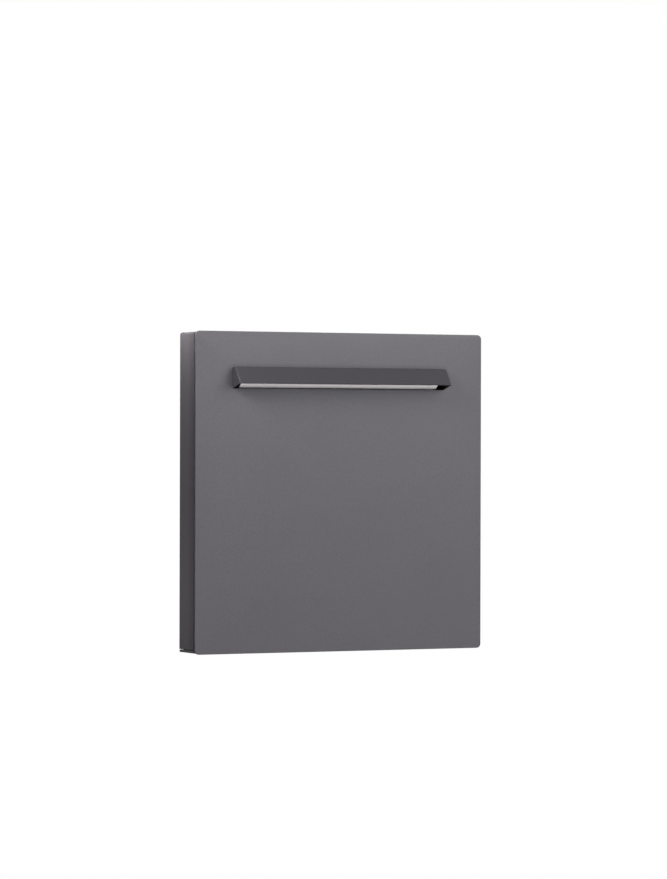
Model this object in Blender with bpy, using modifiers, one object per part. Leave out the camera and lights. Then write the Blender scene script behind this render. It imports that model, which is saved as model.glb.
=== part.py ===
"""Wall mounted mailbox with a flat square door, a folded slot hood and an inward letter flap.

Frame: +X right, +Y into the wall, +Z up, metres. The origin is the centre of the wall face.
The door hangs on two barrel hinges at its right edge and is locked by a cam lock in the
bottom plate. The hood is fixed to the door, and the letter flap swings under it.
"""

import math

import bmesh
import bpy
from mathutils import Matrix, Vector

MM = 0.001
GAP = 0.3 * MM  # clearance that touching pieces keep

# Door panel
PANEL_SIDE = 400.0 * MM
PANEL_THICK = 3.0 * MM
PANEL_FRONT_Y = -50.5 * MM
PANEL_BACK_Y = PANEL_FRONT_Y + PANEL_THICK
PANEL_CORNER = 5.5 * MM
PANEL_EDGE = 0.6 * MM

# Housing
HOUSING_HALF = 198.8 * MM
HOUSING_FRONT_Y = -43.5 * MM
SHEET = 1.5 * MM
BEND = 3.0 * MM
SEAM = 0.8 * MM
BOTTOM_THICK = 3.0 * MM
BOTTOM_EDGE = 0.8 * MM
BOTTOM_TOP_Z = -HOUSING_HALF + BOTTOM_THICK
SHELL_BOTTOM_Z = BOTTOM_TOP_Z + SEAM
INNER_HALF = HOUSING_HALF - SHEET - GAP
INNER_CORNER = 1.0 * MM

# Frame round the door opening
FRAME_WIDTH = 10.0 * MM
HINGE_NOTCH_MARGIN = 2.0 * MM

# Holes in the back panel for the wall screws
WALL_HOLE_RADIUS = 3.5 * MM
WALL_HOLE_OFFSET = 150.0 * MM

# Drain holes in the bottom plate
DRAIN_RADIUS = 2.5 * MM
DRAIN_X = 90.0 * MM

# Hood: its section is given by distances out of the door and by heights
HOOD_LEFT_X = -149.5 * MM
HOOD_RIGHT_X = 146.5 * MM
HOOD_TOP_Z = 155.7 * MM
HOOD_TOP_OUT = 6.9 * MM
LIP_OUT = 21.3 * MM
LIP_Z = 135.6 * MM
CHEEK_ROOT_Z = 129.5 * MM
HOOD_BEND = 2.2 * MM
WEB_INSET = 0.05 * MM
TONGUE_HALF = 138.0 * MM
TONGUE_TOP_Z = 172.5 * MM
TONGUE_NUT_Z = 165.0 * MM
HOOD_NUT_X = (-120.0 * MM, -40.0 * MM, 40.0 * MM, 120.0 * MM)

# Letter slot in the door
SLOT_LEFT_X = HOOD_LEFT_X - GAP
SLOT_RIGHT_X = HOOD_RIGHT_X + GAP
SLOT_BOTTOM_Z = CHEEK_ROOT_Z - GAP
SLOT_TOP_Z = HOOD_TOP_Z + GAP

# Letter flap: a plate that runs down and back from a curl round its rod
FLAP_LEFT_X = -140.9 * MM
FLAP_RIGHT_X = 134.3 * MM
FLAP_THICK = 0.9 * MM
FLAP_SLOPE = 1.29  # millimetres back for each millimetre down
FLAP_TANGENT_OUT = 11.5 * MM
FLAP_FOOT_OUT = -0.5 * MM
FLAP_FOOT_Z = 130.1 * MM
FLAP_LEG_Y = -42.0 * MM
FLAP_LEG_BOTTOM_Z = 121.5 * MM
FLAP_FOOT_BEND = 7.0 * MM
FLAP_LEG_BEND = 1.0 * MM
FLAP_CURL_SWEEP = math.radians(285)
FLAP_CURL_STEPS = 18
ROD_RADIUS = 1.5 * MM
ROD_LEFT_X = -147.5 * MM
ROD_RIGHT_X = 144.5 * MM
CURL_RADIUS = ROD_RADIUS + GAP + FLAP_THICK

# Lugs and bushes of the flap rod
LUG_LEFT_X = -146.9 * MM
LUG_RIGHT_X = 138.9 * MM
LUG_BACK_OUT = 5.0 * MM
LUG_FRONT_OUT = 14.0 * MM
LUG_TOP_OUT = 6.5 * MM
LUG_BOTTOM_Z = 137.3 * MM
LUG_FRONT_Z = 144.5 * MM
LUG_TOP_Z = 154.9 * MM
BUSH_RADIUS = 2.5 * MM
BUSH_FLANGE_RADIUS = 3.6 * MM
BUSH_FLANGE = 0.8 * MM

# Flap buffers
BUFFER_X = 118.0 * MM
FLAP_BUFFER_Z = 124.8 * MM
FLAP_BUFFER_RADIUS = 2.8 * MM

# Door buffers
DOOR_BUFFER_X = -192.4 * MM
DOOR_BUFFER_Z = 120.0 * MM
DOOR_BUFFER_RADIUS = 3.5 * MM

# Hinges
HINGE_X = 198.0 * MM
HINGE_Y = -45.2 * MM
HINGE_Z = 130.0 * MM
HINGE_HALF = 25.0 * MM
HINGE_DOOR_HALF = 12.7 * MM
KNUCKLE_RADIUS = 2.0 * MM
PIN_RADIUS = 1.0 * MM
PIN_HEAD_RADIUS = 1.8 * MM
PIN_HEAD = 1.0 * MM
LEAF_THICK = 1.0 * MM
LEAF_CLEAR = 0.7 * MM
DOOR_LEAF_END_X = 172.0 * MM
BODY_LEAF_END_Y = -22.0 * MM
HINGE_STUD_X = 180.0 * MM
HINGE_STUD_Z = 15.0 * MM

# Studs and nuts, M4
STUD_RADIUS = 2.0 * MM
STUD_END_Y = -41.0 * MM
STUD_HOLE_RADIUS = STUD_RADIUS + GAP
NUT_ACROSS_FLATS = 7.0 * MM
NUT_THICK = 3.2 * MM

# Lock in the bottom plate, and the catch that its cam holds
LOCK_X = -150.0 * MM
LOCK_Y = -24.5 * MM
BEZEL_RADIUS = 10.0 * MM
BEZEL_THICK = 0.9 * MM
BARREL_RADIUS = 8.0 * MM
BARREL_TOP_Z = -178.4 * MM
LOCK_NUT_ACROSS_FLATS = 20.0 * MM
LOCK_NUT_THICK = 3.0 * MM
PLUG_RADIUS = 5.5 * MM
SHANK_HALF = 3.0 * MM
CAM_THICK = 2.0 * MM
CAM_HALF = 5.0 * MM
CAM_REACH = 19.0 * MM
CAM_HUB = 6.5 * MM
CAM_SCREW_HEAD = 4.5 * MM
CAM_SCREW_HEAD_THICK = 2.4 * MM
CAM_SCREW_RADIUS = 2.0 * MM
CAM_SCREW_DEPTH = 8.0 * MM
CAM_SCREW_RECESS = (0.4 * MM, 3.0 * MM)
CAM_SCREW_RECESS_DEPTH = 1.0 * MM
KEYWAY_HALF = (0.6 * MM, 3.6 * MM)
KEYWAY_DEPTH = 12.0 * MM
CATCH_LEFT_X = -140.0 * MM
CATCH_RIGHT_X = -131.0 * MM
CATCH_TOP_Z = -148.0 * MM
CATCH_TAB_Y = LOCK_Y + CAM_HALF + 0.5 * MM
CATCH_TAB_BOTTOM_Z = -178.2 * MM
CATCH_STUD_Z = (-168.0 * MM, -155.0 * MM)
CATCH_BEND = 2.4 * MM
CATCH_TAB_BEND = 0.8 * MM

CAM_BOTTOM_Z = BARREL_TOP_Z + 2 * GAP
CAM_TOP_Z = CAM_BOTTOM_Z + CAM_THICK
CATCH_ARM_Z = CAM_TOP_Z + 1.0 * MM


# Modelling helpers

def clear_scene():
    for item in list(bpy.data.objects):
        bpy.data.objects.remove(item, do_unlink=True)


def make_collection(name):
    collection = bpy.data.collections.new(name)
    bpy.context.scene.collection.children.link(collection)
    return collection


def make_material(name, colour, roughness, metallic):
    made = bpy.data.materials.new(name)
    made.use_nodes = True
    shader = made.node_tree.nodes["Principled BSDF"]
    shader.inputs["Base Color"].default_value = (*colour, 1.0)
    shader.inputs["Roughness"].default_value = roughness
    shader.inputs["Metallic"].default_value = metallic
    return made


def make_object(name, bm, material, origin=(0, 0, 0)):
    """Makes an object from a bmesh in world coordinates, with its origin at the given point."""
    bmesh.ops.translate(bm, verts=bm.verts, vec=-Vector(origin))
    mesh = bpy.data.meshes.new(name)
    bm.to_mesh(mesh)
    bm.free()
    mesh.materials.append(material)
    mesh.shade_smooth()
    mesh.set_sharp_from_angle(angle=math.radians(35))
    item = bpy.data.objects.new(name, mesh)
    item.location = origin
    PARTS.objects.link(item)
    return item


def make_cutter(bm, name):
    mesh = bpy.data.meshes.new(name)
    bm.to_mesh(mesh)
    bm.free()
    item = bpy.data.objects.new(name, mesh)
    item.hide_render = True
    item.display_type = "WIRE"
    CUTTERS.objects.link(item)
    return item


def combine(item, operation, pieces):
    """Adds one Boolean to the object for each bmesh, in world coordinates."""
    for bm in pieces:
        label = f"{item.name}_{operation.lower()}_{len(item.modifiers)}"
        modifier = item.modifiers.new(label, "BOOLEAN")
        modifier.operation = operation
        modifier.object = make_cutter(bm, label)


def cut(item, *pieces):
    combine(item, "DIFFERENCE", pieces)


def join(item, *pieces):
    combine(item, "UNION", pieces)


def thicken(item, thickness, offset):
    modifier = item.modifiers.new("sheet", "SOLIDIFY")
    modifier.thickness = thickness
    modifier.offset = offset
    modifier.use_even_offset = True
    modifier.use_quality_normals = True


def round_edges(item, width, segments=2, angle=math.radians(60)):
    modifier = item.modifiers.new("round_edges", "BEVEL")
    modifier.width = width
    modifier.segments = segments
    modifier.limit_method = "ANGLE"
    modifier.angle_limit = angle


def box(low, high):
    bm = bmesh.new()
    bmesh.ops.create_cube(bm, size=1.0)
    bmesh.ops.scale(bm, verts=bm.verts, vec=Vector(high) - Vector(low))
    bmesh.ops.translate(bm, verts=bm.verts, vec=(Vector(high) + Vector(low)) / 2)
    return bm


def cylinder(start, end, radius, segments=24, turn=0.0):
    """A capped cylinder between two points; turn spins its facets about its own axis."""
    start = Vector(start)
    axis = Vector(end) - start
    placing = Matrix.Translation(start + axis / 2) @ axis.to_track_quat("Z", "Y").to_matrix().to_4x4()
    bm = bmesh.new()
    bmesh.ops.create_cone(
        bm, cap_ends=True, segments=segments, radius1=radius, radius2=radius, depth=axis.length,
        matrix=placing @ Matrix.Rotation(turn, 4, "Z"))
    return bm


def hexagon(start, end, across_flats, turn=0.0):
    return cylinder(start, end, across_flats / math.sqrt(3), segments=6, turn=turn)


def prism(outline, low_x, high_x):
    """A solid from an outline of (y, z) points, between two x values."""
    bm = bmesh.new()
    face = bm.faces.new([bm.verts.new((low_x, y, z)) for y, z in outline])
    grown = bmesh.ops.extrude_face_region(bm, geom=[face])
    moved = [part for part in grown["geom"] if isinstance(part, bmesh.types.BMVert)]
    bmesh.ops.translate(bm, verts=moved, vec=(high_x - low_x, 0, 0))
    bmesh.ops.recalc_face_normals(bm, faces=bm.faces)
    return bm


def rounded_path(points, radii, segments=4):
    """An open (y, z) path whose inner corners are arcs of the given radii."""
    path = [Vector(points[0])]
    for before, corner, after, radius in zip(points, points[1:], points[2:], radii):
        corner = Vector(corner)
        back = (Vector(before) - corner).normalized()
        ahead = (Vector(after) - corner).normalized()
        half = back.angle(ahead) / 2
        centre = corner + (back + ahead).normalized() * radius / math.sin(half)
        first = corner + back * radius / math.tan(half) - centre
        sweep = first.angle_signed(corner + ahead * radius / math.tan(half) - centre)
        for step in range(segments + 1):
            path.append(centre + Matrix.Rotation(-sweep * step / segments, 2) @ first)
    path.append(Vector(points[-1]))
    return path


def strip(path, low_x, high_x):
    """An open sheet along a (y, z) path; its normals point to the left of the path's direction."""
    bm = bmesh.new()
    low = [bm.verts.new((low_x, y, z)) for y, z in path]
    edges = [bm.edges.new(pair) for pair in zip(low, low[1:])]
    grown = bmesh.ops.extrude_edge_only(bm, edges=edges)
    moved = [part for part in grown["geom"] if isinstance(part, bmesh.types.BMVert)]
    bmesh.ops.translate(bm, verts=moved, vec=(high_x - low_x, 0, 0))
    bm.normal_update()
    y_step, z_step = path[1] - path[0]
    if edges[0].link_faces[0].normal.dot(Vector((0, -z_step, y_step))) < 0:
        bmesh.ops.reverse_faces(bm, faces=bm.faces)
    return bm


def out(distance):
    """The y of a point that stands a distance out of the door's front face."""
    return PANEL_FRONT_Y - distance


# Housing

def bend_edges(bm, wanted, width, segments=3):
    edges = [edge for edge in bm.edges if len(edge.link_faces) == 2 and wanted(edge)]
    bmesh.ops.bevel(
        bm, geom=edges, offset=width, offset_type="OFFSET", segments=segments, profile=0.5,
        affect="EDGES", clamp_overlap=True)


def is_fold(edge):
    return edge.link_faces[0].normal.dot(edge.link_faces[1].normal) < 0.5


def runs_along_y(edge):
    step = edge.verts[0].co - edge.verts[1].co
    return abs(step.x) + abs(step.z) < abs(step.y)


def faces_towards(bm, direction):
    return [face for face in bm.faces if face.normal.dot(Vector(direction)) > 0.99]


def build_housing_shell():
    """Left, roof and right walls, bent from one sheet."""
    bm = box((-HOUSING_HALF, HOUSING_FRONT_Y, SHELL_BOTTOM_Z), (HOUSING_HALF, 0, HOUSING_HALF))
    bm.normal_update()
    for direction in ((0, 1, 0), (0, -1, 0), (0, 0, -1)):
        bmesh.ops.delete(bm, geom=faces_towards(bm, direction), context="FACES")
    bend_edges(bm, is_fold, BEND)
    item = make_object("housing_shell", bm, STEEL_GREY)
    thicken(item, SHEET, -1)
    cut(item, *hinge_notches())


def hinge_notches():
    """Cutters that give the hinge knuckles room in the housing's right front edge."""
    notches = []
    for centre in (HINGE_Z, -HINGE_Z):
        low_z = centre - HINGE_HALF - HINGE_NOTCH_MARGIN
        high_z = centre + HINGE_HALF + HINGE_NOTCH_MARGIN
        notches.append(box(
            (HINGE_X - KNUCKLE_RADIUS - LEAF_CLEAR, HOUSING_FRONT_Y - SHEET, low_z),
            (HOUSING_HALF + SHEET, HOUSING_FRONT_Y + SHEET + GAP, high_z)))
    return notches


def inner_plate(front_y, back_y):
    """A plate that fits between the walls, the roof and the bottom plate."""
    bm = box((-INNER_HALF, front_y, BOTTOM_TOP_Z + GAP), (INNER_HALF, back_y, INNER_HALF))
    bend_edges(bm, lambda edge: runs_along_y(edge) and edge.verts[0].co.z > 0, INNER_CORNER)
    return bm


def build_front_frame():
    """A flat frame welded into the front of the housing, which the door's buffers meet."""
    back_y = HOUSING_FRONT_Y + SHEET
    item = make_object("front_frame", inner_plate(HOUSING_FRONT_Y, back_y), STEEL_GREY)
    opening_half = INNER_HALF - FRAME_WIDTH
    cut(item, box(
        (-opening_half, HOUSING_FRONT_Y - SHEET, BOTTOM_TOP_Z + GAP + FRAME_WIDTH),
        (opening_half, back_y + SHEET, opening_half)))
    cut(item, *hinge_notches())


def build_back_panel():
    """A flat plate against the wall, with a hole for each wall screw."""
    item = make_object("back_panel", inner_plate(-SHEET, 0), STEEL_GREY)
    for x in (-WALL_HOLE_OFFSET, WALL_HOLE_OFFSET):
        for z in (-WALL_HOLE_OFFSET, WALL_HOLE_OFFSET):
            cut(item, cylinder((x, -2 * SHEET, z), (x, SHEET, z), WALL_HOLE_RADIUS))


def build_bottom_plate():
    """A thick plate under the walls, with drain holes and the hole for the lock."""
    item = make_object("bottom_plate", box(
        (-HOUSING_HALF, HOUSING_FRONT_Y, -HOUSING_HALF), (HOUSING_HALF, 0, BOTTOM_TOP_Z)), STEEL_GREY)
    round_edges(item, BOTTOM_EDGE)
    for x, radius in ((-DRAIN_X, DRAIN_RADIUS), (DRAIN_X, DRAIN_RADIUS), (LOCK_X, BARREL_RADIUS + GAP)):
        low = (x, LOCK_Y, -HOUSING_HALF - SHEET)
        cut(item, cylinder(low, (x, LOCK_Y, BOTTOM_TOP_Z + SHEET), radius, segments=32))


def build_door_buffers():
    for name, z in (("door_buffer_upper", DOOR_BUFFER_Z), ("door_buffer_lower", -DOOR_BUFFER_Z)):
        front = (DOOR_BUFFER_X, PANEL_BACK_Y + GAP, z)
        back = (DOOR_BUFFER_X, HOUSING_FRONT_Y - GAP, z)
        make_object(name, cylinder(front, back, DOOR_BUFFER_RADIUS), RUBBER)


# Door

def build_door_panel():
    """The flat plate with the slot that the hood passes through."""
    half = PANEL_SIDE / 2
    bm = box((-half, PANEL_FRONT_Y, -half), (half, PANEL_BACK_Y, half))
    bend_edges(bm, runs_along_y, PANEL_CORNER, segments=5)
    item = make_object("door_panel", bm, PAINT_GREY)
    round_edges(item, PANEL_EDGE, segments=3)
    slot = box(
        (SLOT_LEFT_X, PANEL_FRONT_Y - SHEET, SLOT_BOTTOM_Z), (SLOT_RIGHT_X, PANEL_BACK_Y + SHEET, SLOT_TOP_Z))
    bend_edges(slot, lambda edge: runs_along_y(edge) and edge.verts[0].co.z > HOOD_TOP_Z, HOOD_BEND)
    cut(item, slot)


def hinge_stud_heights():
    return [centre + step for centre in (HINGE_Z, -HINGE_Z) for step in (HINGE_STUD_Z, -HINGE_STUD_Z)]


def catch_centre_x():
    return (CATCH_LEFT_X + CATCH_RIGHT_X) / 2


def build_fastener(label, number, x, z, sheet):
    """A stud welded to the door's back, and the nut that clamps a sheet of the given thickness."""
    root = (x, PANEL_BACK_Y + GAP, z)
    make_object(f"{label}_stud_{number}", cylinder(root, (x, STUD_END_Y, z), STUD_RADIUS, segments=16), ZINC)
    front = PANEL_BACK_Y + 2 * GAP + sheet
    nut = make_object(
        f"{label}_nut_{number}", hexagon((x, front, z), (x, front + NUT_THICK, z), NUT_ACROSS_FLATS), ZINC)
    cut(nut, stud_hole(x, z))


def stud_hole(x, z):
    return cylinder((x, PANEL_BACK_Y, z), (x, STUD_END_Y + SHEET, z), STUD_HOLE_RADIUS, segments=16)


def build_fasteners():
    for number, x in enumerate(HOOD_NUT_X, 1):
        build_fastener("hood", number, x, TONGUE_NUT_Z, SHEET)
    for number, z in enumerate(hinge_stud_heights(), 1):
        build_fastener("hinge", number, HINGE_STUD_X, z, LEAF_THICK)
    for number, z in enumerate(CATCH_STUD_Z, 1):
        build_fastener("catch", number, catch_centre_x(), z, SHEET)


def flap_foot():
    return out(FLAP_FOOT_OUT), FLAP_FOOT_Z


def flap_tangent():
    """Where the flap's plate leaves its curl, on the plate's front face."""
    foot_y, foot_z = flap_foot()
    rise = (FLAP_TANGENT_OUT - FLAP_FOOT_OUT) / FLAP_SLOPE
    return out(FLAP_TANGENT_OUT), foot_z + rise


def flap_pivot():
    """The rod's centre: the plate's front face touches the curl's outer circle."""
    y, z = flap_tangent()
    along = Vector((FLAP_SLOPE, -1)).normalized()
    return y - along.y * CURL_RADIUS, z + along.x * CURL_RADIUS


def build_slot_hood():
    """One folded sheet: roof, sloping face and cheeks through the slot, a tongue behind the door."""
    root_y = PANEL_BACK_Y - GAP
    roof = [(root_y, HOOD_TOP_Z), (out(HOOD_TOP_OUT), HOOD_TOP_Z)]
    outline = roof + [(out(LIP_OUT), LIP_Z), (PANEL_FRONT_Y, CHEEK_ROOT_Z), (root_y, CHEEK_ROOT_Z)]
    bm = prism(outline, HOOD_LEFT_X, HOOD_RIGHT_X)
    lip = Vector((0, out(LIP_OUT), LIP_Z))
    root = Vector((0, PANEL_FRONT_Y, CHEEK_ROOT_Z))
    under_cheeks = (lip - root).cross(Vector((1, 0, 0))).normalized()
    if under_cheeks.z > 0:
        under_cheeks.negate()
    for direction in ((0, 1, 0), (0, 0, -1), under_cheeks):
        bmesh.ops.delete(bm, geom=faces_towards(bm, direction), context="FACES")
    bend_edges(bm, is_fold, HOOD_BEND)
    item = make_object("slot_hood", bm, HOOD_GREY)
    thicken(item, SHEET, -1)

    tongue_y = PANEL_BACK_Y + GAP
    sheet_low_z = HOOD_TOP_Z - SHEET
    join(item, box(
        (-TONGUE_HALF, root_y - SHEET, sheet_low_z + WEB_INSET),
        (TONGUE_HALF, tongue_y + SHEET / 2, HOOD_TOP_Z - WEB_INSET)))
    join(item, box((-TONGUE_HALF, tongue_y, sheet_low_z), (TONGUE_HALF, tongue_y + SHEET, TONGUE_TOP_Z)))
    cut(item, *[stud_hole(x, TONGUE_NUT_Z) for x in HOOD_NUT_X])

    lug = [
        (out(LUG_BACK_OUT), LUG_BOTTOM_Z), (out(LUG_FRONT_OUT), LUG_BOTTOM_Z),
        (out(LUG_FRONT_OUT), LUG_FRONT_Z), (out(LUG_TOP_OUT), LUG_TOP_Z), (out(LUG_BACK_OUT), LUG_TOP_Z)]
    pivot_y, pivot_z = flap_pivot()
    for low_x in (LUG_LEFT_X, LUG_RIGHT_X):
        join(item, prism(lug, low_x, low_x + SHEET))
        cut(item, cylinder(
            (low_x - SHEET / 2, pivot_y, pivot_z), (low_x + 1.5 * SHEET, pivot_y, pivot_z),
            BUSH_RADIUS + GAP))


def build_flap_bushes():
    """A flanged bush in each lug, its flange between the lug and the flap."""
    pivot_y, pivot_z = flap_pivot()
    ends = (
        ("flap_bush_left", LUG_LEFT_X + GAP, LUG_LEFT_X + SHEET + GAP, 1),
        ("flap_bush_right", LUG_RIGHT_X + SHEET - GAP, LUG_RIGHT_X - GAP, -1))
    for name, outer_x, seat_x, inward in ends:
        flange_x = seat_x + inward * BUSH_FLANGE
        bm = cylinder((outer_x, pivot_y, pivot_z), (flange_x, pivot_y, pivot_z), BUSH_RADIUS)
        item = make_object(name, bm, NYLON)
        join(item, cylinder((seat_x, pivot_y, pivot_z), (flange_x, pivot_y, pivot_z), BUSH_FLANGE_RADIUS))
        cut(item, cylinder(
            (outer_x - inward * SHEET, pivot_y, pivot_z), (flange_x + inward * SHEET, pivot_y, pivot_z),
            ROD_RADIUS + GAP))


def build_letter_flap():
    """A sheet rolled round the rod, then down and back, over the slot's edge and down behind it."""
    pivot_y, pivot_z = flap_pivot()
    tangent_y, tangent_z = flap_tangent()
    end_angle = math.atan2(tangent_z - pivot_z, tangent_y - pivot_y)
    curl = []
    for step in range(FLAP_CURL_STEPS):
        angle = end_angle - FLAP_CURL_SWEEP * (1 - step / FLAP_CURL_STEPS)
        y = pivot_y + CURL_RADIUS * math.cos(angle)
        curl.append(Vector((y, pivot_z + CURL_RADIUS * math.sin(angle))))
    plate = rounded_path(
        [flap_tangent(), flap_foot(), (FLAP_LEG_Y, FLAP_FOOT_Z), (FLAP_LEG_Y, FLAP_LEG_BOTTOM_Z)],
        [FLAP_FOOT_BEND, FLAP_LEG_BEND])
    item = make_object(
        "letter_flap", strip(curl + plate, FLAP_LEFT_X, FLAP_RIGHT_X), STAINLESS, (0, pivot_y, pivot_z))
    thicken(item, FLAP_THICK, 1)
    rod = cylinder(
        (ROD_LEFT_X, pivot_y, pivot_z), (ROD_RIGHT_X, pivot_y, pivot_z), ROD_RADIUS, segments=16)
    make_object("flap_rod", rod, STAINLESS, (0, pivot_y, pivot_z))
    for name, x in (("flap_buffer_left", -BUFFER_X), ("flap_buffer_right", BUFFER_X)):
        front = (x, PANEL_BACK_Y + GAP, FLAP_BUFFER_Z)
        back = (x, FLAP_LEG_Y - GAP, FLAP_BUFFER_Z)
        make_object(name, cylinder(front, back, FLAP_BUFFER_RADIUS), RUBBER)


# Hinges

def build_hinge(suffix, centre):
    axis = (HINGE_X, HINGE_Y, centre)
    low_z = centre - HINGE_HALF
    high_z = centre + HINGE_HALF
    knuckles = (low_z, centre - HINGE_DOOR_HALF - GAP), (centre + HINGE_DOOR_HALF + GAP, high_z)
    door_low = centre - HINGE_DOOR_HALF
    door_high = centre + HINGE_DOOR_HALF

    leaf_x = HINGE_X - KNUCKLE_RADIUS
    leaf_back_x = leaf_x + LEAF_THICK
    body = make_object(f"hinge_body_leaf_{suffix}", box(
        (leaf_x, HINGE_Y + KNUCKLE_RADIUS + LEAF_CLEAR, low_z), (leaf_back_x, BODY_LEAF_END_Y, high_z)),
        ZINC, axis)
    for low, high in knuckles:
        join(body, box((leaf_x, HINGE_Y, low), (leaf_back_x, BODY_LEAF_END_Y - MM, high)))
        join(body, cylinder((HINGE_X, HINGE_Y, low), (HINGE_X, HINGE_Y, high), KNUCKLE_RADIUS))
    cut(body, pin_bore(low_z, high_z))

    leaf_y = HINGE_Y - KNUCKLE_RADIUS
    door = make_object(f"hinge_door_leaf_{suffix}", box(
        (DOOR_LEAF_END_X, leaf_y, low_z), (leaf_x - LEAF_CLEAR, leaf_y + LEAF_THICK, high_z)), ZINC, axis)
    join(door, box((DOOR_LEAF_END_X + MM, leaf_y, door_low), (HINGE_X, leaf_y + LEAF_THICK, door_high)))
    join(door, cylinder((HINGE_X, HINGE_Y, door_low), (HINGE_X, HINGE_Y, door_high), KNUCKLE_RADIUS))
    cut(door, pin_bore(low_z, high_z))
    cut(door, *[stud_hole(HINGE_STUD_X, centre + step) for step in (HINGE_STUD_Z, -HINGE_STUD_Z)])

    head = (HINGE_X, HINGE_Y, high_z + PIN_HEAD)
    pin = make_object(f"hinge_pin_{suffix}", cylinder(
        (HINGE_X, HINGE_Y, low_z), head, PIN_RADIUS, segments=16), ZINC, axis)
    join(pin, cylinder((HINGE_X, HINGE_Y, high_z + GAP), head, PIN_HEAD_RADIUS, segments=16))


def pin_bore(low_z, high_z):
    return cylinder((HINGE_X, HINGE_Y, low_z - MM), (HINGE_X, HINGE_Y, high_z + MM), PIN_RADIUS + GAP)


# Lock and catch

def on_lock_axis(z):
    return LOCK_X, LOCK_Y, z


def build_lock_body():
    """The flanged barrel, pushed up through the bottom plate and held by its nut."""
    bezel_low_z = -HOUSING_HALF - GAP - BEZEL_THICK
    barrel = make_object("lock_barrel", cylinder(
        on_lock_axis(bezel_low_z), on_lock_axis(BARREL_TOP_Z), BARREL_RADIUS, segments=32), ZINC,
        on_lock_axis(BARREL_TOP_Z))
    join(barrel, cylinder(
        on_lock_axis(bezel_low_z), on_lock_axis(bezel_low_z + BEZEL_THICK), BEZEL_RADIUS, segments=32))
    cut(barrel, cylinder(
        on_lock_axis(bezel_low_z - MM), on_lock_axis(BARREL_TOP_Z + MM), PLUG_RADIUS + GAP, segments=32))
    seat_z = BOTTOM_TOP_Z + GAP
    nut = make_object("lock_nut", hexagon(
        on_lock_axis(seat_z), on_lock_axis(seat_z + LOCK_NUT_THICK), LOCK_NUT_ACROSS_FLATS,
        turn=math.radians(30)), ZINC)
    high = on_lock_axis(seat_z + 2 * LOCK_NUT_THICK)
    cut(nut, cylinder(on_lock_axis(seat_z - MM), high, BARREL_RADIUS + GAP, segments=32))


def build_lock_core():
    """The plug that the key turns, its cam and the cam's screw; the cam rests towards the door."""
    face_z = -HOUSING_HALF - GAP - BEZEL_THICK + GAP
    origin = on_lock_axis(CAM_BOTTOM_Z)
    plug = make_object("lock_plug", cylinder(
        on_lock_axis(face_z), on_lock_axis(CAM_BOTTOM_Z - GAP), PLUG_RADIUS, segments=32), BRASS, origin)
    join(plug, box(
        (LOCK_X - SHANK_HALF, LOCK_Y - SHANK_HALF, CAM_BOTTOM_Z - MM),
        (LOCK_X + SHANK_HALF, LOCK_Y + SHANK_HALF, CAM_TOP_Z - GAP)))
    screw_low_z = CAM_TOP_Z - CAM_SCREW_DEPTH
    cut(plug, cylinder(
        on_lock_axis(screw_low_z - MM), on_lock_axis(CAM_TOP_Z + MM), CAM_SCREW_RADIUS + GAP, segments=16))
    cut(plug, box(
        (LOCK_X - KEYWAY_HALF[0], LOCK_Y - KEYWAY_HALF[1], face_z - MM),
        (LOCK_X + KEYWAY_HALF[0], LOCK_Y + KEYWAY_HALF[1], face_z + KEYWAY_DEPTH)))

    hub = cylinder(on_lock_axis(CAM_BOTTOM_Z), on_lock_axis(CAM_TOP_Z), CAM_HUB, segments=32)
    cam = make_object("lock_cam", hub, ZINC, origin)
    join(cam, box(
        (LOCK_X - CAM_HALF, LOCK_Y - CAM_REACH, CAM_BOTTOM_Z), (LOCK_X + CAM_HALF, LOCK_Y, CAM_TOP_Z)))
    hole = SHANK_HALF + GAP
    cut(cam, box(
        (LOCK_X - hole, LOCK_Y - hole, CAM_BOTTOM_Z - MM), (LOCK_X + hole, LOCK_Y + hole, CAM_TOP_Z + MM)))

    screw = make_object("lock_cam_screw", cylinder(
        on_lock_axis(screw_low_z), on_lock_axis(CAM_TOP_Z + CAM_SCREW_HEAD_THICK), CAM_SCREW_RADIUS,
        segments=16), ZINC, origin)
    join(screw, cylinder(
        on_lock_axis(CAM_TOP_Z + GAP), on_lock_axis(CAM_TOP_Z + CAM_SCREW_HEAD_THICK), CAM_SCREW_HEAD))
    head_z = CAM_TOP_Z + CAM_SCREW_HEAD_THICK
    for across, along in (CAM_SCREW_RECESS, CAM_SCREW_RECESS[::-1]):
        cut(screw, box(
            (LOCK_X - across, LOCK_Y - along, head_z - CAM_SCREW_RECESS_DEPTH),
            (LOCK_X + across, LOCK_Y + along, head_z + CAM_SCREW_RECESS_DEPTH)))


def build_door_catch():
    """A folded bracket on the door: its arm passes over the cam and its tab drops behind it."""
    path = rounded_path(
        [(PANEL_BACK_Y + GAP, CATCH_TOP_Z), (PANEL_BACK_Y + GAP, CATCH_ARM_Z), (CATCH_TAB_Y, CATCH_ARM_Z),
         (CATCH_TAB_Y, CATCH_TAB_BOTTOM_Z)],
        [CATCH_BEND, CATCH_TAB_BEND])
    item = make_object("door_catch", strip(path, CATCH_LEFT_X, CATCH_RIGHT_X), ZINC)
    thicken(item, SHEET, 1)
    cut(item, *[stud_hole(catch_centre_x(), z) for z in CATCH_STUD_Z])


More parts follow.
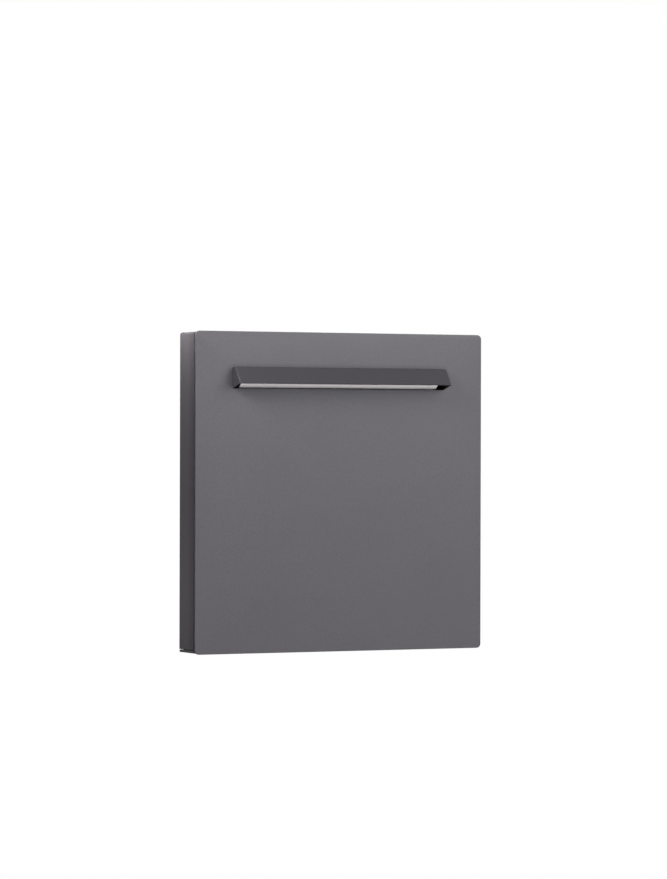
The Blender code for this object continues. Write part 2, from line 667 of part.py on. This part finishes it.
clear_scene()
PARTS = make_collection("wall_mounted_mailbox")
CUTTERS = make_collection("cutters")
PAINT_GREY = make_material("grey_powder_coat", (0.14, 0.135, 0.145), 0.55, 0.3)
STEEL_GREY = make_material("grey_powder_coat_housing", (0.14, 0.135, 0.145), 0.55, 0.3)
HOOD_GREY = make_material("dark_grey_paint", (0.08, 0.078, 0.083), 0.5, 0.1)
STAINLESS = make_material("stainless_steel", (0.62, 0.6, 0.58), 0.3, 1.0)
ZINC = make_material("zinc_plate", (0.6, 0.6, 0.58), 0.38, 1.0)
BRASS = make_material("brass", (0.62, 0.45, 0.2), 0.35, 1.0)
RUBBER = make_material("black_rubber", (0.02, 0.02, 0.02), 0.8, 0.0)
NYLON = make_material("black_nylon", (0.03, 0.03, 0.03), 0.5, 0.0)

build_housing_shell()
build_front_frame()
build_back_panel()
build_bottom_plate()
build_door_buffers()
build_door_panel()
build_slot_hood()
build_flap_bushes()
build_letter_flap()
build_fasteners()
build_hinge("upper", HINGE_Z)
build_hinge("lower", -HINGE_Z)
build_lock_body()
build_lock_core()
build_door_catch()
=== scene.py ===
"""Looks of the wall mounted mailbox: materials, edge rounding and small hardware round the CAD frame."""

import math

import bmesh
import bpy
from mathutils import Matrix, Vector


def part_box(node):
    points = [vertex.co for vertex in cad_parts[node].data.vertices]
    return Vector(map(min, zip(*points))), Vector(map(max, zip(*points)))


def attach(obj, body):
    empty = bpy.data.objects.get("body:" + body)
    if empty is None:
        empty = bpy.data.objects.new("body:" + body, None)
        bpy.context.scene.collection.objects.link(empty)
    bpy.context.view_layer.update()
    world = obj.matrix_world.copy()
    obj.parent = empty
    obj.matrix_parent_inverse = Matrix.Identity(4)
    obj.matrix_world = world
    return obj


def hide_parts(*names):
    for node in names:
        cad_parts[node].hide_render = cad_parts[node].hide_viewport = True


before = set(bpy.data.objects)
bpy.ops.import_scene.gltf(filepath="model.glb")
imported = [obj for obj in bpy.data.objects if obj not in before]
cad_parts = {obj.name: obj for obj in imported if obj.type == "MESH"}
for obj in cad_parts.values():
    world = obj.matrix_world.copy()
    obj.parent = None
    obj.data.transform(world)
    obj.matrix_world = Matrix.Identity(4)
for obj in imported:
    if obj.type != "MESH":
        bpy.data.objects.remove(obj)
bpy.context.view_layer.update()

MM = 0.001

# Camera: level, 26 degrees to the left of the door, 4.76 m from it
SENSOR = 36.0
LENS = 153.69
CAMERA_AT = (-2.0911, -4.2743, 0.0660)
CAMERA_AZIMUTH = math.radians(26.225)
CAMERA_ROLL = 0.0025

# Floor, low enough to stay out of the camera's view
FLOOR_Z = -1.4
FLOOR_SIDE = 6.0
FLOOR_FADE = (0.4, 1.7)

# Area lights: name, place, target, width, height and power in watts
LIGHTS = [
    ("front_light", (0.9, -3.4, 1.0), (0, 0, 0), 2.0, 1.2, 24.4),
    ("far_right_light", (2.2, -1.6, 1.0), (0, 0, 0.1), 1.0, 1.0, 9.7),
    ("right_light", (1.2, -1.6, 0.5), (0, 0, 0.1), 1.0, 1.0, 7.5),
    ("right_corner_light", (0.8, -0.9, 0.8), (0.15, -0.05, 0.15), 0.7, 0.7, 10.2),
    ("low_light", (0.2, -1.6, -0.75), (0, 0, 0.1), 2.2, 0.6, 11.0),
    ("low_right_light", (1.6, -2.0, -0.5), (0, 0, 0), 1.0, 0.8, 9.2),
    ("left_corner_light", (-0.7, -0.35, 0.55), (-0.15, -0.05, 0.12), 0.3, 0.3, 10.2),
    ("upper_side_light", (-0.255, -0.005, 0.245), (-0.198, -0.02, 0.19), 0.05, 0.05, 0.23),
    ("lower_side_light", (-0.34, -0.02, -0.15), (-0.198, -0.02, -0.08), 0.15, 0.15, 0.15),
    ("back_light", (0.5, 2.4, 0.5), (0, 0, 0), 2.0, 1.6, 56.0),
    ("rear_right_light", (2.2, 0.7, 0.4), (0.1, 0, 0), 1.2, 1.2, 25.0),
    ("roof_light", (0.5, 0.9, 1.6), (0, 0, 0.1), 1.4, 1.0, 11.0),
]
WORLD_STRENGTH = 0.005


# Materials

class Nodes:
    """A short way to write a material's node tree."""

    def __init__(self, name):
        self.material = bpy.data.materials.new(name)
        self.material.use_nodes = True
        self.tree = self.material.node_tree
        self.shader = self.tree.nodes["Principled BSDF"]
        self.place = self.add("ShaderNodeTexCoord").outputs["Object"]

    def add(self, kind, **settings):
        node = self.tree.nodes.new(kind)
        for key, value in settings.items():
            setattr(node, key, value)
        return node

    def link(self, source, target):
        self.tree.links.new(source, target)

    def set(self, **values):
        for key, value in values.items():
            self.shader.inputs[key.replace("_", " ")].default_value = value

    def stretched(self, scale):
        node = self.add("ShaderNodeMapping")
        node.inputs["Scale"].default_value = scale
        self.link(self.place, node.inputs["Vector"])
        return node.outputs["Vector"]

    def noise(self, scale, detail=2.0, roughness=0.5, vector=None):
        node = self.add("ShaderNodeTexNoise")
        node.inputs["Scale"].default_value = scale
        node.inputs["Detail"].default_value = detail
        node.inputs["Roughness"].default_value = roughness
        self.link(vector or self.place, node.inputs["Vector"])
        return node.outputs["Fac"]

    def component(self, vector, axis):
        parts = self.add("ShaderNodeSeparateXYZ")
        self.link(vector, parts.inputs[0])
        return parts.outputs[axis]

    def backward(self):
        """From -1 where the object's own surface faces its front to 1 where it faces its back."""
        return self.component(self.add("ShaderNodeTexCoord").outputs["Normal"], "Y")

    def colour_by(self, colour, shade):
        """Sets the base colour, darkened by the factor that shade makes, if there is one."""
        if shade:
            darker = self.add("ShaderNodeVectorMath", operation="SCALE")
            self.link(colour, darker.inputs[0])
            self.link(shade(self), darker.inputs["Scale"])
            colour = darker.outputs[0]
        self.link(colour, self.shader.inputs["Base Color"])

    def spread(self, factor, low, high, start=0.3, end=0.7):
        """Maps a factor between start and end to a number between low and high."""
        node = self.add("ShaderNodeMapRange")
        node.inputs["From Min"].default_value = start
        node.inputs["From Max"].default_value = end
        node.inputs["To Min"].default_value = low
        node.inputs["To Max"].default_value = high
        self.link(factor, node.inputs["Value"])
        return node.outputs["Result"]

    def ramp(self, factor, stops):
        node = self.add("ShaderNodeValToRGB")
        elements = node.color_ramp.elements
        while len(elements) < len(stops):
            elements.new(0.5)
        for element, (position, colour) in zip(elements, stops):
            element.position = position
            element.color = (*colour, 1.0)
        self.link(factor, node.inputs["Fac"])
        return node.outputs["Color"]

    def bump(self, heights):
        """Chains one Bump for each (height, strength, distance)."""
        normal = None
        for height, strength, distance in heights:
            node = self.add("ShaderNodeBump")
            node.inputs["Strength"].default_value = strength
            node.inputs["Distance"].default_value = distance
            self.link(height, node.inputs["Height"])
            if normal:
                self.link(normal, node.inputs["Normal"])
            normal = node.outputs["Normal"]
        self.link(normal, self.shader.inputs["Normal"])


def scaled(colour, factor):
    return tuple(channel * factor for channel in colour)


def powder_coat(name, colour, roughness=0.5, shade=None):
    """Fine textured metallic powder coat: a grain of about a millimetre, with flakes in it.

    shade makes a factor that darkens the coat as painted shade, on a plate's cut edges or along a seam.
    """
    m = Nodes(name)
    m.set(Metallic=0.25, Specular_IOR_Level=0.22)
    grain_noise = m.noise(900.0, detail=3.0, roughness=0.65)
    flakes = m.noise(3500.0, detail=1.0)
    broad = m.noise(14.0, detail=2.0)
    mixed = m.add("ShaderNodeMath", operation="MULTIPLY_ADD")
    m.link(flakes, mixed.inputs[0])
    mixed.inputs[1].default_value = 0.4
    m.link(grain_noise, mixed.inputs[2])
    drifted = m.add("ShaderNodeMath", operation="MULTIPLY_ADD")
    m.link(broad, drifted.inputs[0])
    drifted.inputs[1].default_value = 0.12
    m.link(mixed.outputs[0], drifted.inputs[2])
    coat = m.ramp(
        drifted.outputs[0], [(0.52, scaled(colour, 0.84)), (0.76, colour), (1.0, scaled(colour, 1.2))])
    m.colour_by(coat, shade)
    m.link(m.spread(grain_noise, roughness - 0.06, roughness + 0.08), m.shader.inputs["Roughness"])
    m.bump([(grain_noise, 0.35, 0.12 * MM), (flakes, 0.15, 0.04 * MM)])
    return m.material


def satin_paint(name, colour):
    """Smooth dark paint with a faint orange peel."""
    m = Nodes(name)
    m.set(Metallic=0.1, Specular_IOR_Level=0.22)
    peel = m.noise(700.0, detail=2.0)
    dust = m.noise(2600.0, detail=2.0)
    m.link(m.ramp(dust, [(0.35, scaled(colour, 0.93)), (0.65, scaled(colour, 1.07))]),
           m.shader.inputs["Base Color"])
    m.link(m.spread(peel, 0.42, 0.5), m.shader.inputs["Roughness"])
    m.bump([(peel, 0.2, 0.04 * MM)])
    return m.material


def brushed_metal(name, colour, roughness, grain=(6.0, 900.0, 900.0), strength=0.25, metallic=1.0,
                  shade=None):
    """Metal with hair lines; the grain's small number is the direction that they run in."""
    m = Nodes(name)
    m.set(Metallic=metallic)
    lines = m.noise(1.0, detail=4.0, roughness=0.6, vector=m.stretched(grain))
    stains = m.noise(60.0, detail=3.0)
    m.colour_by(m.ramp(lines, [(0.3, scaled(colour, 0.9)), (0.7, scaled(colour, 1.06))]), shade)
    both = m.add("ShaderNodeMath", operation="MULTIPLY_ADD")
    m.link(stains, both.inputs[0])
    both.inputs[1].default_value = 0.4
    m.link(lines, both.inputs[2])
    m.link(m.spread(both.outputs[0], roughness - 0.06, roughness + 0.1, 0.4, 1.0),
           m.shader.inputs["Roughness"])
    m.bump([(lines, strength, 0.03 * MM)])
    return m.material


def zinc_plate(name, colour):
    """Bright zinc with its cloudy patches."""
    m = Nodes(name)
    m.set(Metallic=1.0)
    clouds = m.noise(220.0, detail=4.0, roughness=0.7)
    fine = m.noise(3000.0, detail=2.0)
    m.link(m.ramp(clouds, [(0.3, scaled(colour, 0.8)), (0.55, colour), (0.75, scaled(colour, 1.15))]),
           m.shader.inputs["Base Color"])
    m.link(m.spread(clouds, 0.28, 0.5), m.shader.inputs["Roughness"])
    m.bump([(fine, 0.15, 0.02 * MM)])
    return m.material


def rubber(name, colour, roughness):
    """Rubber or nylon with a fine skin and a little dust."""
    m = Nodes(name)
    m.set(Specular_IOR_Level=0.3)
    fine = m.noise(2500.0, detail=3.0)
    dust = m.noise(300.0, detail=4.0)
    m.link(m.ramp(dust, [(0.35, colour), (0.75, scaled(colour, 1.8))]), m.shader.inputs["Base Color"])
    m.link(m.spread(fine, roughness - 0.1, roughness + 0.1), m.shader.inputs["Roughness"])
    m.bump([(fine, 0.3, 0.04 * MM)])
    return m.material


def floor_material():
    """Pale and faintly mottled, and clear far from its centre, where it fades into the backdrop."""
    m = Nodes("pale_floor")
    m.set(Specular_IOR_Level=0.2)
    mottle = m.noise(8.0, detail=6.0)
    m.link(m.ramp(mottle, [(0.3, (0.86, 0.86, 0.86)), (0.7, (0.9, 0.9, 0.9))]), m.shader.inputs["Base Color"])
    m.link(m.spread(mottle, 0.6, 0.75), m.shader.inputs["Roughness"])
    distance = m.add("ShaderNodeVectorMath", operation="LENGTH")
    m.link(m.place, distance.inputs[0])
    m.link(m.spread(distance.outputs["Value"], 1.0, 0.0, *FLOOR_FADE), m.shader.inputs["Alpha"])
    return m.material


# CAD nodes: finishes and rounded edges

WELD_DISTANCE = 0.01 * MM
EDGE_SEGMENTS = 2
EDGE_ANGLE = math.radians(50)
SPLIT_ANGLE = math.radians(25)
BROAD_FACE_WEIGHT = 100


def dress(nodes, material, edge=0.0, flat=False):
    """Gives CAD nodes their material and rounds their sharp edges; flat keeps broad faces plane."""
    for name in nodes:
        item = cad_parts[name]
        item.data.materials.clear()
        item.data.materials.append(material)
        weld = item.modifiers.new("weld", "WELD")
        weld.merge_threshold = WELD_DISTANCE
        if edge:
            bevel = item.modifiers.new("edges", "BEVEL")
            bevel.width = edge
            bevel.segments = EDGE_SEGMENTS
            bevel.limit_method = "ANGLE"
            bevel.angle_limit = EDGE_ANGLE
        item.data.shade_smooth()
        if flat:
            split = item.modifiers.new("split", "EDGE_SPLIT")
            split.split_angle = SPLIT_ANGLE
        else:
            normals = item.modifiers.new("normals", "WEIGHTED_NORMAL")
            normals.weight = BROAD_FACE_WEIGHT
            normals.keep_sharp = False


PANEL_COLOUR = (0.0885, 0.0848, 0.0944)
HOUSING_COLOUR = (0.0530, 0.0485, 0.0537)
HOOD_COLOUR = (0.0440, 0.0418, 0.0462)

# Painted shades are factors on a colour, and fades are the lengths over which they end
CUT_EDGE_PAINTED_SHADE = 0.4
FLAP_INNER_PAINTED_SHADE = 0.5
FLAP_FOOT_PAINTED_SHADE = 0.5
FLAP_FOOT_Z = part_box("letter_flap")[0][2] + 8.6 * MM
FLAP_FOOT_FADE = 3.6 * MM
SEAM_PAINTED_SHADE = 0.62
SEAM_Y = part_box("housing_shell")[0][1]
SEAM_FADE = 20.0 * MM


def cut_edge_painted_shade(m):
    """Painted shade: the coat is darkened on a plate's cut edges, which face neither front nor back."""
    size = m.add("ShaderNodeMath", operation="ABSOLUTE")
    m.link(m.backward(), size.inputs[0])
    return m.spread(size.outputs[0], CUT_EDGE_PAINTED_SHADE, 1.0)


def flap_painted_shade(m):
    """Painted light on the flap: its outside keeps a near-white colour as a painted reflection, its inside is
    darkened to a plain steel tone, and its foot is darkened as painted shade.
    """
    inside = m.spread(m.backward(), 1.0, FLAP_INNER_PAINTED_SHADE, -0.1, 0.1)
    foot = m.spread(
        m.component(m.place, "Z"), FLAP_FOOT_PAINTED_SHADE, 1.0, FLAP_FOOT_Z, FLAP_FOOT_Z + FLAP_FOOT_FADE)
    both = m.add("ShaderNodeMath", operation="MULTIPLY")
    m.link(inside, both.inputs[0])
    m.link(foot, both.inputs[1])
    return both.outputs[0]


def seam_painted_shade(m):
    """Painted shade: the shell darkens towards its front edge, along the seam behind the door."""
    return m.spread(m.component(m.place, "Y"), SEAM_PAINTED_SHADE, 1.0, SEAM_Y, SEAM_Y + SEAM_FADE)


# Painted shade darkens the door plate's cut edges.
panel_paint = powder_coat("door_powder_coat", PANEL_COLOUR, shade=cut_edge_painted_shade)
# Painted shade darkens the shell towards the seam behind the door.
shell_paint = powder_coat("shell_powder_coat", HOUSING_COLOUR, roughness=0.72, shade=seam_painted_shade)
housing_paint = powder_coat("housing_powder_coat", HOUSING_COLOUR)
hood_paint = satin_paint("hood_paint", HOOD_COLOUR)
# The near-white steel colour is partly the flap's own and partly a painted reflection, darkened inside and at
# the foot as painted shade.
stainless = brushed_metal(
    "satin_stainless", (0.98, 0.93, 0.94), 0.4, strength=0.1, metallic=0.1, shade=flap_painted_shade)
zinc = zinc_plate("zinc_plate", (0.42, 0.43, 0.44))
brass = brushed_metal("turned_brass", (0.66, 0.47, 0.2), 0.3, grain=(400.0, 400.0, 60.0), strength=0.1)
black_rubber = rubber("black_rubber", (0.018, 0.018, 0.018), 0.75)
black_nylon = rubber("black_nylon", (0.03, 0.03, 0.03), 0.45)

dress(["door_panel"], panel_paint, flat=True)
dress(["housing_shell"], shell_paint, edge=0.25 * MM)
dress(["front_frame", "back_panel", "bottom_plate"], housing_paint, edge=0.25 * MM)
dress(["slot_hood"], hood_paint, edge=0.15 * MM)
dress(["letter_flap", "flap_rod"], stainless, edge=0.15 * MM)
dress(["hinge_body_leaf_upper", "hinge_body_leaf_lower", "hinge_door_leaf_upper", "hinge_door_leaf_lower",
       "hinge_pin_upper", "hinge_pin_lower", "door_catch", "lock_barrel", "lock_cam", "lock_cam_screw"], zinc,
      edge=0.15 * MM)
dress(["lock_plug"], brass, edge=0.2 * MM)
dress(["door_buffer_upper", "door_buffer_lower", "flap_buffer_left", "flap_buffer_right"], black_rubber,
      edge=0.3 * MM)
dress(["flap_bush_left", "flap_bush_right"], black_nylon, edge=0.15 * MM)


def link_object(name, data):
    item = bpy.data.objects.new(name, data)
    bpy.context.scene.collection.objects.link(item)
    return item


# Small hardware: nuts with chamfered corners and studs with a thread, in place of the plain CAD ones

FASTENERS = {"hood": 4, "hinge": 4, "catch": 2}
THREAD_PITCH = 0.7 * MM
THREAD_DEPTH = 0.35 * MM
THREAD_STEPS = 6
STUD_CHAMFER = 0.5 * MM
STUD_STEPS = 24
NUT_STEPS = 48
NUT_CHAMFER = math.tan(math.radians(30))
NUT_FACE_SHARE = 0.96
NUT_BORE_CHAMFER_SHARE = 0.06
NUT_PLAY = 0.05 * MM
LOCK_BARREL_RADIUS = 8.0 * MM
HARDWARE_EDGE = 0.1 * MM
HARDWARE_ANGLE = math.radians(40)
INTO_WALL = Matrix.Rotation(math.radians(-90), 4, "X")
FLATS_ASIDE = Matrix.Rotation(math.radians(30), 4, "Z")


def ring_mesh(rings, closed):
    """A mesh through rings of points of equal count; closed joins the last ring to the first."""
    bm = bmesh.new()
    loops = [[bm.verts.new(point) for point in ring] for ring in rings]
    pairs = list(zip(loops, loops[1:]))
    if closed:
        pairs.append((loops[-1], loops[0]))
    for low, high in pairs:
        for step in range(len(low)):
            after = (step + 1) % len(low)
            bm.faces.new((low[step], low[after], high[after], high[step]))
    if not closed:
        bm.faces.new(reversed(loops[0]))
        bm.faces.new(loops[-1])
    bmesh.ops.recalc_face_normals(bm, faces=bm.faces[:])
    mesh = bpy.data.meshes.new("rings")
    bm.to_mesh(mesh)
    bm.free()
    return mesh


def hex_radius(angle, across_flats):
    sector = math.radians(60)
    return across_flats / 2 / math.cos((angle % sector) - sector / 2)


def nut_mesh(across_flats, thickness, bore):
    """A hexagon nut along +Z from the origin, chamfered at its corners and at its bore."""
    face_radius = across_flats / 2 * NUT_FACE_SHARE
    lead = across_flats * NUT_BORE_CHAMFER_SHARE
    angles = [math.tau * step / NUT_STEPS for step in range(NUT_STEPS)]

    def ring(radius, height):
        return [(radius * math.cos(angle), radius * math.sin(angle), height) for angle in angles]

    def corner_ring(side):
        points = []
        for angle in angles:
            radius = hex_radius(angle, across_flats)
            drop = (radius - face_radius) * NUT_CHAMFER
            height = drop if side < 0 else thickness - drop
            points.append((radius * math.cos(angle), radius * math.sin(angle), height))
        return points

    return ring_mesh([
        ring(bore, lead), ring(bore + lead, 0.0), ring(face_radius, 0.0), corner_ring(-1), corner_ring(1),
        ring(face_radius, thickness), ring(bore + lead, thickness), ring(bore, thickness - lead)], True)


def stud_mesh(radius, length):
    """A threaded stud along +Z from the origin, with a plain root and a chamfered end."""
    rings = []
    count = int(length / THREAD_PITCH * THREAD_STEPS)
    for level in range(count + 1):
        height = length * level / count
        end_cut = max(0.0, height - length + STUD_CHAMFER)
        depth = THREAD_DEPTH if height > THREAD_PITCH else 0.0
        ring = []
        for step in range(STUD_STEPS):
            share = step / STUD_STEPS
            phase = (height / THREAD_PITCH - share) % 1.0
            reach = min(radius - end_cut, radius - depth * (1.0 - abs(2.0 * phase - 1.0)))
            ring.append((reach * math.cos(math.tau * share), reach * math.sin(math.tau * share), height))
        rings.append(ring)
    return ring_mesh(rings, False)


def place_hardware(node, mesh, turn, origin, body):
    """Turns and moves a mesh into place as the piece that stands for a CAD node."""
    piece = link_object(f"{node}_detailed", mesh)
    mesh.transform(Matrix.Translation(origin) @ turn)
    mesh.materials.append(zinc)
    mesh.shade_smooth()
    edges = piece.modifiers.new("edges", "BEVEL")
    edges.width = HARDWARE_EDGE
    edges.segments = EDGE_SEGMENTS
    edges.limit_method = "ANGLE"
    edges.angle_limit = HARDWARE_ANGLE
    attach(piece, body)
    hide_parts(node)


def extent(node):
    """The lowest corner of a node's box, its middle and its size."""
    low, high = (Vector(corner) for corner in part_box(node))
    return low, (low + high) / 2, high - low


def build_door_fastener(stud, nut):
    low, middle, size = extent(stud)
    radius = size.x / 2
    place_hardware(stud, stud_mesh(radius, size.y), INTO_WALL, (middle.x, low.y, middle.z), "door")
    low, middle, size = extent(nut)
    mesh = nut_mesh(size.x, size.y, radius + NUT_PLAY)
    place_hardware(nut, mesh, INTO_WALL @ FLATS_ASIDE, (middle.x, low.y, middle.z), "door")


def build_lock_nut():
    low, middle, size = extent("lock_nut")
    mesh = nut_mesh(size.y, size.z, LOCK_BARREL_RADIUS + NUT_PLAY)
    place_hardware("lock_nut", mesh, Matrix(), (middle.x, middle.y, low.z), "housing")


for stem, count in FASTENERS.items():
    for number in range(1, count + 1):
        build_door_fastener(f"{stem}_stud_{number}", f"{stem}_nut_{number}")
build_lock_nut()


# Stage: floor, camera and lights

def build_floor():
    bm = bmesh.new()
    bmesh.ops.create_grid(bm, x_segments=1, y_segments=1, size=FLOOR_SIDE / 2)
    mesh = bpy.data.meshes.new("floor")
    bm.to_mesh(mesh)
    bm.free()
    mesh.materials.append(floor_material())
    floor = link_object("floor", mesh)
    floor.location.z = FLOOR_Z


def build_camera():
    data = bpy.data.cameras.new("camera")
    data.sensor_width = SENSOR
    data.lens = LENS
    data.clip_end = 50.0
    camera = link_object("camera", data)
    camera.location = CAMERA_AT
    turn = Matrix.Rotation(-CAMERA_AZIMUTH, 4, "Z")
    level = Matrix.Rotation(math.radians(90), 4, "X")
    camera.rotation_euler = (turn @ level @ Matrix.Rotation(CAMERA_ROLL, 4, "Z")).to_euler()
    bpy.context.scene.camera = camera


def build_light(name, place, target, width, height, power):
    data = bpy.data.lights.new(name, "AREA")
    data.shape = "RECTANGLE"
    data.size = width
    data.size_y = height
    data.energy = power
    light = link_object(name, data)
    light.location = place
    light.rotation_euler = (Vector(target) - Vector(place)).to_track_quat("-Z", "Y").to_euler()
    light.visible_camera = False


def build_world():
    """White to the camera, and a very faint white light on the object."""
    world = bpy.data.worlds.new("studio")
    bpy.context.scene.world = world
    world.use_nodes = True
    tree = world.node_tree
    background = tree.nodes["Background"]
    background.inputs["Color"].default_value = (1.0, 1.0, 1.0, 1.0)
    background.inputs["Strength"].default_value = WORLD_STRENGTH
    seen = tree.nodes.new("ShaderNodeBackground")
    seen.inputs["Color"].default_value = (1.0, 1.0, 1.0, 1.0)
    seen.inputs["Strength"].default_value = 1.0
    path = tree.nodes.new("ShaderNodeLightPath")
    mix = tree.nodes.new("ShaderNodeMixShader")
    tree.links.new(path.outputs["Is Camera Ray"], mix.inputs["Fac"])
    tree.links.new(background.outputs[0], mix.inputs[1])
    tree.links.new(seen.outputs[0], mix.inputs[2])
    tree.links.new(mix.outputs[0], tree.nodes["World Output"].inputs["Surface"])


build_floor()
build_camera()
for name, place, target, width, height, power in LIGHTS:
    build_light(name, place, target, width, height, power)
build_world()
bpy.context.scene.view_settings.view_transform = "Standard"
